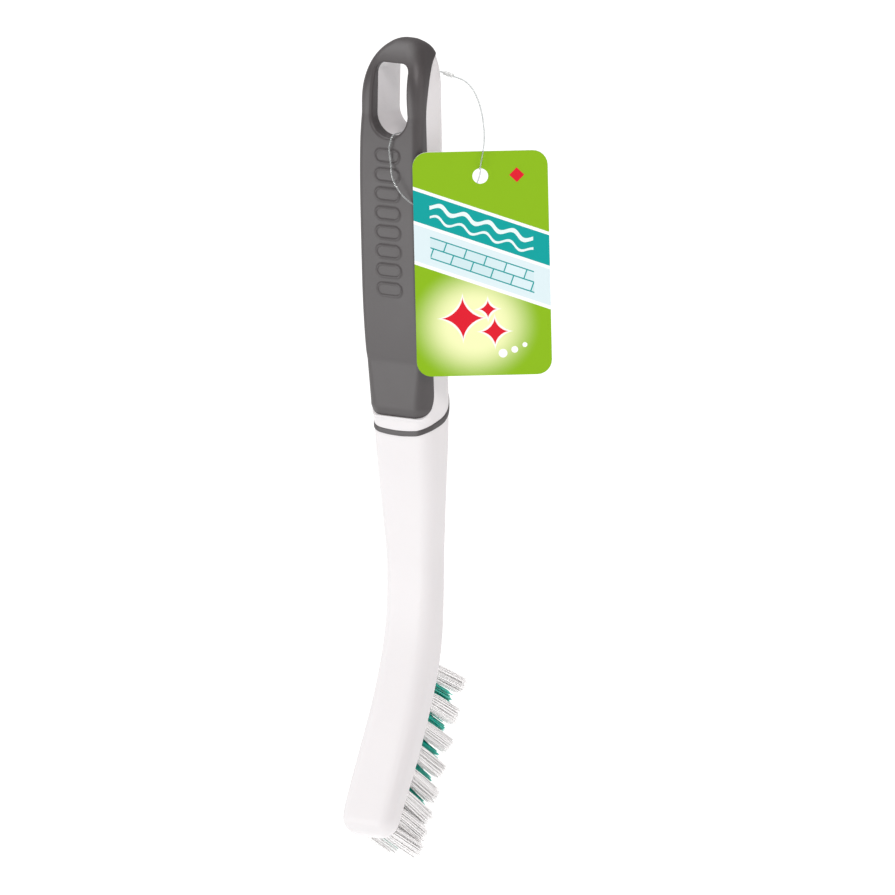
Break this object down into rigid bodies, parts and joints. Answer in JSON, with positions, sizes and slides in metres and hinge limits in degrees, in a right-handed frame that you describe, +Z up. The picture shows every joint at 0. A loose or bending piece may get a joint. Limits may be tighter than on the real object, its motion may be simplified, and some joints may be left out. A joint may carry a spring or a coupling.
{
  "type": "grout and detail brush",
  "caption": "Slim hand-held scrubbing brush with a soft grip over a rigid handle, a bent head with short stiff tufts, a hang hole, and a card tag on a filament loop.",
  "frame": {"origin": "middle of the flat top wall of the hang hole, where a peg or hook carries the brush", "axes": "+Z up along the handle as it hangs, -Y out of the soft thumb side, +Y towards the bristles, and the brush is symmetric across X"},
  "size_m": [0.062, 0.0542, 0.2827],
  "materials": {
    "white": "gloss",
    "grey": "matte",
    "bristle_white": "satin",
    "bristle_teal": "satin",
    "steel": "rolled",
    "card": "coated",
    "filament": "clear"
  },
  "bodies": {
    "brush": {"handle_core": "white", "soft_grip": "grey", "accent_ring": "grey", "tuft_left_1": "bristle_white", "tuft_left_2": "bristle_white", "tuft_left_3": "bristle_white", "tuft_left_4": "bristle_white", "tuft_left_5": "bristle_white", "tuft_left_6": "bristle_white", "tuft_left_7": "bristle_white", "tuft_left_8": "bristle_white", "tuft_right_1": "bristle_white", "tuft_right_2": "bristle_white", "tuft_right_3": "bristle_white", "tuft_right_4": "bristle_white", "tuft_right_5": "bristle_white", "tuft_right_6": "bristle_white", "tuft_right_7": "bristle_white", "tuft_right_8": "bristle_white", "tuft_centre_1": "bristle_teal", "tuft_centre_2": "bristle_teal", "tuft_centre_3": "bristle_teal", "tuft_centre_4": "bristle_teal", "tuft_centre_5": "bristle_teal", "tuft_centre_6": "bristle_teal", "tuft_centre_7": "bristle_teal", "anchor_left_1": "steel", "anchor_left_2": "steel", "anchor_left_3": "steel", "anchor_left_4": "steel", "anchor_left_5": "steel", "anchor_left_6": "steel", "anchor_left_7": "steel", "anchor_left_8": "steel", "anchor_right_1": "steel", "anchor_right_2": "steel", "anchor_right_3": "steel", "anchor_right_4": "steel", "anchor_right_5": "steel", "anchor_right_6": "steel", "anchor_right_7": "steel", "anchor_right_8": "steel", "anchor_centre_1": "steel", "anchor_centre_2": "steel", "anchor_centre_3": "steel", "anchor_centre_4": "steel", "anchor_centre_5": "steel", "anchor_centre_6": "steel", "anchor_centre_7": "steel"},
    "loop": {"tag_loop": "filament", "loop_lock": "filament"},
    "tag": {"hang_tag": "card"}
  },
  "joints": [
    {"name": "loop_swing", "type": "hinge", "parent": "brush", "child": "loop", "pos_m": [0.0023, 0, -0.0239], "axis": [0, -1, 0], "range_deg": [0, 20]},
    {"name": "tag_swing", "type": "hinge", "parent": "loop", "child": "tag", "pos_m": [0.03029, 0.00137, -0.03535], "axis": [0.5736, -0.8192, 0], "range_deg": [-30, 30]}
  ]
}
